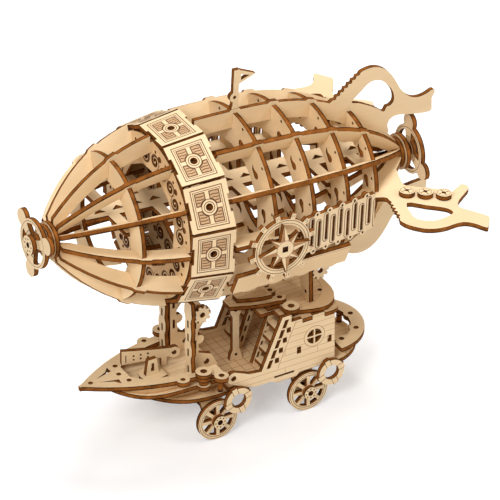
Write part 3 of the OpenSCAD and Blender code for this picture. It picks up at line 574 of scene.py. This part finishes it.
def hub_lines(wire, wood):
    """Circles round the axis of the envelope."""
    x, y, z = hull_places(wire)
    ring = length(y, z)
    inner, outer = HUB_RINGS
    return ring.near(inner, wood.line) | ring.near(outer, wood.line * 0.8)


def fascia_lines(wire, wood):
    """One line along the plate."""
    x, y, z = hull_places(wire)
    return z.near(FASCIA_LINE_Z, wood.line * 0.8) * FASCIA_TINT


def button_lines(wire, wood):
    """A cross and a circle on each wing button."""
    x, y, z = hull_places(wire)
    masks = []
    for i in range(BUTTON_COUNT):
        a = x - (BUTTON_PLACE[0] + BUTTON_STEP[0] * i)
        b = abs(y) - (BUTTON_PLACE[1] + BUTTON_STEP[1] * i)
        ring = length(a, b)
        cross = (a.near(0, wood.line * 1.6) | b.near(0, wood.line * 1.6)) & (ring < BUTTON_CROSS)
        masks += [cross, ring.near(BUTTON_RING, wood.line * 0.7)]
    return any_of(masks)


def buoy_lines(wire, wood):
    """Two lines beside each strap of a lifebuoy."""
    x, y, z = gondola_places(wire)
    masks = []
    for place_x, place_z in BUOYS:
        a = x - place_x
        b = z - place_z
        ring = length(a, b)
        across = ring * (b.angle(a) - STRAP_TURN).repeat(STRAP_PITCH).sine()
        masks.append(abs(across).near(STRAP_HALF, wood.line * 0.8) & (ring < STRAP_REACH))
    return any_of(masks)


# Materials

def new_tree(name):
    """A material with one Principled shader and nothing that feeds it."""
    material = bpy.data.materials.new(name)
    material.use_nodes = True
    tree = material.node_tree
    tree.nodes.clear()
    output = tree.nodes.new("ShaderNodeOutputMaterial")
    shader = tree.nodes.new("ShaderNodeBsdfPrincipled")
    tree.links.new(shader.outputs["BSDF"], output.inputs["Surface"])
    return material, tree, shader


def shade(colour, factors):
    """A colour made lighter or deeper, by one factor for each channel."""
    return [min(1.0, value * factor) for value, factor in zip(colour, factors)]


def wood_noise(wire, places, along, across, detail, roughness):
    """Noise drawn out along the grain, which runs with X."""
    x, y, z = places
    drawn = wire.make("ShaderNodeCombineXYZ", X=x * along, Y=y * across, Z=z * across)
    return wire.make("ShaderNodeTexNoise", out="Fac", Vector=drawn, Scale=1.0,
                     Detail=detail, Roughness=roughness)


def face_material(name, colour, wood, pattern=None):
    """Pale birch face with long grain, soft patches and burnt engraving."""
    material, tree, shader = new_tree(name)
    start = Wire(tree)
    places = flat_places(start)
    grain = wood_noise(start, places, **GRAIN)
    patch = wood_noise(start, places, **PATCH)
    fleck = wood_noise(start, places, **FLECK)
    tone = grain.swing() * GRAIN_TONE + patch.swing() * PATCH_TONE + fleck.swing() * FLECK_TONE
    base = (FACE_TONE - tone).held().mix(shade(colour, FACE_LIGHT), shade(colour, FACE_DEEP))
    rough = grain.swing() * GRAIN_ROUGHNESS + FACE_ROUGHNESS
    height = fleck * FLECK_HEIGHT + grain * GRAIN_HEIGHT
    if pattern:
        mask = pattern(start, wood)
        heat = mask * (grain.swing() * HEAT_SWING + HEAT)
        base = (heat * SCORCH_GAIN).held().mix(base, wood.scorch)
        base = (heat * BURN_GAIN - 1.0).held().mix(base, wood.burnt)
        rough = rough + mask * LINE_ROUGHNESS
        height = height - mask
    bump = start.make("ShaderNodeBump", Strength=FACE_BUMP, Distance=BUMP_DISTANCE, Height=height)
    base.feed(shader, "Base Color")
    rough.feed(shader, "Roughness")
    bump.feed(shader, "Normal")
    shader.inputs["Specular IOR Level"].default_value = FACE_SPECULAR
    return material


def edge_material(name, wood):
    """Laser-cut edge: an amber middle between two scorched borders."""
    material, tree, shader = new_tree(name)
    start = Wire(tree)
    place = start.make("ShaderNodeTexCoord", out="Object")
    blotch = start.make("ShaderNodeTexNoise", out="Fac", Vector=place, Scale=BLOTCH_SCALE, Detail=3.0)
    fine = start.make("ShaderNodeTexNoise", out="Fac", Vector=place, Scale=FINE_SCALE, Detail=2.0)
    depth = start.make("ShaderNodeAttribute", out="Fac", settings={"attribute_name": "ply_depth"})
    border = ((abs(depth.swing()) * 2.0 - BORDER_START) * BORDER_GAIN).held()
    tone = blotch.swing() * BLOTCH_TONE + fine.swing() * FINE_TONE - border * BORDER_TONE + EDGE_TONE
    base = tone.held().mix(shade(wood.edge, EDGE_DEEP), shade(wood.edge, EDGE_LIGHT))
    rough = fine * FINE_ROUGHNESS + EDGE_ROUGHNESS
    bump = start.make("ShaderNodeBump", Strength=EDGE_BUMP, Distance=BUMP_DISTANCE, Height=fine)
    base.feed(shader, "Base Color")
    rough.feed(shader, "Roughness")
    bump.feed(shader, "Normal")
    shader.inputs["Specular IOR Level"].default_value = EDGE_SPECULAR
    return material


def shared(name, maker):
    """Gives the material of that name, made once."""
    return bpy.data.materials.get(name) or maker(name)


def face_of(context, tint, pattern=None):
    """Face material of one tint, plain or engraved."""
    wood = context.scene.airship_wood
    name = "ply_" + tint + ("_" + pattern.__name__ if pattern else "")
    return shared(name, lambda text: face_material(text, getattr(wood, tint), wood, pattern))


def edge_of(context):
    """Material of cut edges and of all shafts, axles and pegs."""
    return shared("ply_cut_edge", lambda text: edge_material(text, context.scene.airship_wood))


# Broad faces and cut edges of a plate

def read(items, name, kind=np.float32, width=3):
    """Reads one property of every item, in rows where it has several values."""
    values = np.zeros(len(items) * width, kind)
    items.foreach_get(name, values)
    return values.reshape(-1, width) if width > 1 else values


def solid_labels(places, corners):
    """Numbers the separate solids of a node, one number for each face."""
    keys = np.round(places * WELD_STEPS).astype(np.int64)
    ids = np.unique(keys, axis=0, return_inverse=True)[1].reshape(-1)
    triangles = ids[corners]
    labels = np.arange(ids.max() + 1)
    while True:
        lowest = labels[triangles].min(axis=1)
        after = labels.copy()
        np.minimum.at(after, triangles.ravel(), np.repeat(lowest, 3))
        after = after[after]
        if (after == labels).all():
            return labels[triangles[:, 0]]
        labels = after


def broad_way(normals, areas):
    """The direction that most of a solid's surface faces, either way round."""
    lead = np.abs(normals).argmax(axis=1)
    signs = np.sign(normals[np.arange(len(normals)), lead])
    ways, spots = np.unique(np.round(normals * signs[:, None], 2), axis=0, return_inverse=True)
    shares = np.bincount(spots.reshape(-1), weights=areas)
    return ways[shares.argmax()]


def two_tone(name, face, edge):
    """Gives the broad faces of each plate one material and its cut edges the other."""
    mesh = NODE[name].data
    mesh.materials.clear()
    mesh.materials.append(face)
    mesh.materials.append(edge)
    normals = read(mesh.polygons, "normal")
    areas = read(mesh.polygons, "area", width=1)
    places = read(mesh.vertices, "co")
    corners = read(mesh.loops, "vertex_index", np.int32, width=1).reshape(-1, 3)
    labels = solid_labels(places, corners)
    depths = np.full(len(places), 0.5, np.float32)
    slots = np.ones(len(normals), np.int32)
    for label in np.unique(labels):
        own = np.flatnonzero(labels == label)
        way = broad_way(normals[own], areas[own])
        slots[own[np.abs(normals[own] @ way) > BROAD_COSINE]] = 0
        points = np.unique(corners[own])
        across = places[points] @ way
        depths[points] = (across - across.min()) / max(np.ptp(across), THINNEST)
    depth = mesh.attributes.get("ply_depth") or mesh.attributes.new("ply_depth", "FLOAT", "POINT")
    depth.data.foreach_set("value", depths)
    mesh.polygons.foreach_set("material_index", slots)
    mesh.update()


def dress(context, names, tint, pattern=None):
    """Dresses plates in one face material and the cut edge."""
    for name in names:
        two_tone(name, face_of(context, tint, pattern), edge_of(context))


# Pieces

class AIRSHIP_OT_ribs(bpy.types.Operator):
    """Ribs of the envelope with their fins and wings."""

    bl_idname = "airship.ribs"
    bl_label = "Ribs"

    def execute(self, context):
        dress(context, RIBS, "pale")
        return {"FINISHED"}


class AIRSHIP_OT_rings(bpy.types.Operator):
    """Formers and scrolled bulkheads."""

    bl_idname = "airship.rings"
    bl_label = "Rings"

    def execute(self, context):
        dress(context, RINGS, "pale")
        dress(context, BULKHEADS, "warm", scroll_rims)
        return {"FINISHED"}


class AIRSHIP_OT_belt(bpy.types.Operator):
    """Belt panels with their engraved frames."""

    bl_idname = "airship.belt"
    bl_label = "Belt"

    def execute(self, context):
        dress(context, ["belt_panels"], "pale", belt_frames)
        return {"FINISHED"}


class AIRSHIP_OT_propellers(bpy.types.Operator):
    """Propellers and hub discs, and every shaft, axle and peg."""

    bl_idname = "airship.propellers"
    bl_label = "Propellers"

    def execute(self, context):
        dress(context, ["nose_propeller", "tail_propeller", "nose_plate"], "pale", hub_lines)
        dress(context, ["nose_disc", "tail_disc"], "warm")
        for name in RODS:
            mesh = NODE[name].data
            mesh.materials.clear()
            mesh.materials.append(edge_of(context))
        return {"FINISHED"}


class AIRSHIP_OT_ornaments(bpy.types.Operator):
    """Compass wheels, grilles, fascias, flag, inner deck and wing buttons."""

    bl_idname = "airship.ornaments"
    bl_label = "Ornaments"

    def execute(self, context):
        dress(context, ["compass_rings"], "pale", compass_lines)
        dress(context, ["compass_stars"], "pale", star_lines)
        dress(context, ["side_grilles"], "pale", grille_lines)
        dress(context, ["lower_fascias"], "warm", fascia_lines)
        dress(context, ["flag", "inner_deck"], "pale")
        dress(context, ["wing_buttons"], "pale", button_lines)
        return {"FINISHED"}


class AIRSHIP_OT_hull(bpy.types.Operator):
    """Stacked plates of the boat hull and the fittings of its decks."""

    bl_idname = "airship.hull"
    bl_label = "Hull"

    def execute(self, context):
        dress(context, ["gunwale", "bulwark", "turret", "stern_gallery", "posts"], "pale")
        dress(context, ["foredeck", "floor_plate"], "pale", deck_planks)
        dress(context, ["cabin_floor"], "warm", floor_tiles)
        # The spacers' sides take the hull-side brown, which holds painted shade from the gunwale above them
        for name in ("bow_spacer", "hull_spacer"):
            two_tone(name, face_of(context, "warm"), face_of(context, "side", side_boards))
        return {"FINISHED"}


class AIRSHIP_OT_masts(bpy.types.Operator):
    """Front masts, their gears and the rear strut."""

    bl_idname = "airship.masts"
    bl_label = "Masts"

    def execute(self, context):
        dress(context, ["mast_fronts", "mast_gears"], "pale")
        dress(context, ["mast_sides", "rear_strut"], "warm")
        return {"FINISHED"}


class AIRSHIP_OT_cabin(bpy.types.Operator):
    """Cabin walls, stairs, canopy, column and roof."""

    bl_idname = "airship.cabin"
    bl_label = "Cabin"

    def execute(self, context):
        dress(context, ["wall_near", "wall_far"], "pale", wall_planks)
        dress(context, ["rear_wall"], "warm", cabin_planks)
        dress(context, ["stair_stringers", "stair_treads", "column"], "pale")
        dress(context, ["canopy_lower", "canopy_upper", "roof_lower"], "warm", deck_planks)
        dress(context, ["roof_upper"], "warm", roof_planks)
        return {"FINISHED"}


class AIRSHIP_OT_running_gear(bpy.types.Operator):
    """Wheels, axle brackets and lifebuoys."""

    bl_idname = "airship.running_gear"
    bl_label = "Running gear"

    def execute(self, context):
        dress(context, ["front_wheels", "rear_wheels"], "pale", wheel_lines)
        dress(context, ["axle_brackets"], "warm")
        dress(context, ["lifebuoys"], "pale", buoy_lines)
        return {"FINISHED"}


# Studio

def floor_material(glow_level):
    """White floor that keeps the shadow of the model."""
    material = bpy.data.materials.new("studio_floor")
    material.use_nodes = True
    tree = material.node_tree
    tree.nodes.clear()
    output = tree.nodes.new("ShaderNodeOutputMaterial")
    paint = tree.nodes.new("ShaderNodeBsdfDiffuse")
    paint.inputs["Color"].default_value = FLOOR_PAINT
    glow = tree.nodes.new("ShaderNodeEmission")
    glow.inputs["Color"].default_value = FLOOR_GLOW
    seen = Wire(tree).make("ShaderNodeLightPath", out="Is Camera Ray")
    seen = seen | seen.other("Is Glossy Ray") | seen.other("Is Transmission Ray")
    (seen * glow_level).feed(glow, "Strength")
    both = tree.nodes.new("ShaderNodeAddShader")
    tree.links.new(paint.outputs[0], both.inputs[0])
    tree.links.new(glow.outputs[0], both.inputs[1])
    tree.links.new(both.outputs[0], output.inputs["Surface"])
    return material


def add_floor(stage):
    """Lays the floor under the wheels."""
    bpy.ops.object.select_all(action="DESELECT")
    bpy.ops.mesh.primitive_plane_add(size=stage.floor, location=(0, 0, 0))
    floor = bpy.context.object
    floor.name = "studio_floor"
    floor.data.materials.append(floor_material(stage.glow))


def add_camera(stage):
    """Sets the camera by its turn and rise, then shifts it sideways and upward."""
    turn, rise = stage.turn, stage.rise
    right = Vector((math.cos(turn), -math.sin(turn), 0))
    back = Vector((-math.sin(turn) * math.cos(rise), -math.cos(turn) * math.cos(rise), math.sin(rise)))
    up = Vector((math.sin(turn) * math.sin(rise), math.cos(turn) * math.sin(rise), math.cos(rise)))
    centre = Vector((AXIS_X * MM, 0, 0))
    place = centre + back * stage.distance + right * stage.side + up * stage.lift
    bpy.ops.object.camera_add()
    camera = bpy.context.object
    camera.name = "photo_camera"
    camera.matrix_world = Matrix.Translation(place) @ Matrix((right, up, back)).transposed().to_4x4()
    camera.data.sensor_width = SENSOR_WIDTH
    camera.data.lens = stage.lens
    camera.data.clip_end = CAMERA_REACH
    bpy.context.scene.camera = camera


def add_sky(stage):
    """Lights the model from all round."""
    world = bpy.data.worlds.new("studio_world")
    bpy.context.scene.world = world
    world.use_nodes = True
    sky = world.node_tree.nodes["Background"]
    sky.inputs["Color"].default_value = (*stage.sky, 1)
    sky.inputs["Strength"].default_value = stage.sky_level


def add_lamp(name, place, target, size, power):
    """Hangs one square soft lamp and turns it to its target."""
    bpy.ops.object.light_add(type="AREA", location=place)
    lamp = bpy.context.object
    lamp.name = name
    lamp.data.size = size
    lamp.data.energy = power
    lamp.rotation_euler = (Vector(target) - Vector(place)).to_track_quat("-Z", "Y").to_euler()


class AIRSHIP_OT_stage(bpy.types.Operator):
    """White floor, camera, sky and soft lamps."""

    bl_idname = "airship.stage"
    bl_label = "Stage"

    def execute(self, context):
        stage = context.scene.airship_stage
        add_floor(stage)
        add_camera(stage)
        add_sky(stage)
        for name, settings in LAMPS.items():
            add_lamp(name, *settings)
        context.scene.view_settings.view_transform = "Standard"
        return {"FINISHED"}


class AIRSHIP_PT_panel(bpy.types.Panel):
    """Lists the pieces, and the sizes and colours that may be changed."""

    bl_idname = "AIRSHIP_PT_panel"
    bl_label = "Airship"
    bl_space_type = "VIEW_3D"
    bl_region_type = "UI"
    bl_category = "Airship"

    def draw(self, context):
        for kind in PIECES:
            self.layout.operator(kind.bl_idname)
        for group in (context.scene.airship_wood, context.scene.airship_stage):
            for name in group.__annotations__:
                self.layout.prop(group, name)


PIECES = [AIRSHIP_OT_stage, AIRSHIP_OT_ribs, AIRSHIP_OT_rings, AIRSHIP_OT_belt, AIRSHIP_OT_propellers,
          AIRSHIP_OT_ornaments, AIRSHIP_OT_hull, AIRSHIP_OT_masts, AIRSHIP_OT_cabin, AIRSHIP_OT_running_gear]
CLASSES = [AirshipWood, AirshipStage, *PIECES, AIRSHIP_PT_panel]


def register():
    """Registers the classes and hangs both groups of settings on the scene."""
    for kind in CLASSES:
        bpy.utils.register_class(kind)
    bpy.types.Scene.airship_wood = bpy.props.PointerProperty(type=AirshipWood)
    bpy.types.Scene.airship_stage = bpy.props.PointerProperty(type=AirshipStage)


def unregister():
    """Takes away what register adds."""
    del bpy.types.Scene.airship_stage
    del bpy.types.Scene.airship_wood
    for kind in reversed(CLASSES):
        bpy.utils.unregister_class(kind)


def main():
    """Makes the stage and dresses every piece."""
    register()
    for kind in PIECES:
        group, name = kind.bl_idname.split(".")
        getattr(getattr(bpy.ops, group), name)()


if __name__ == "__main__":
    main()
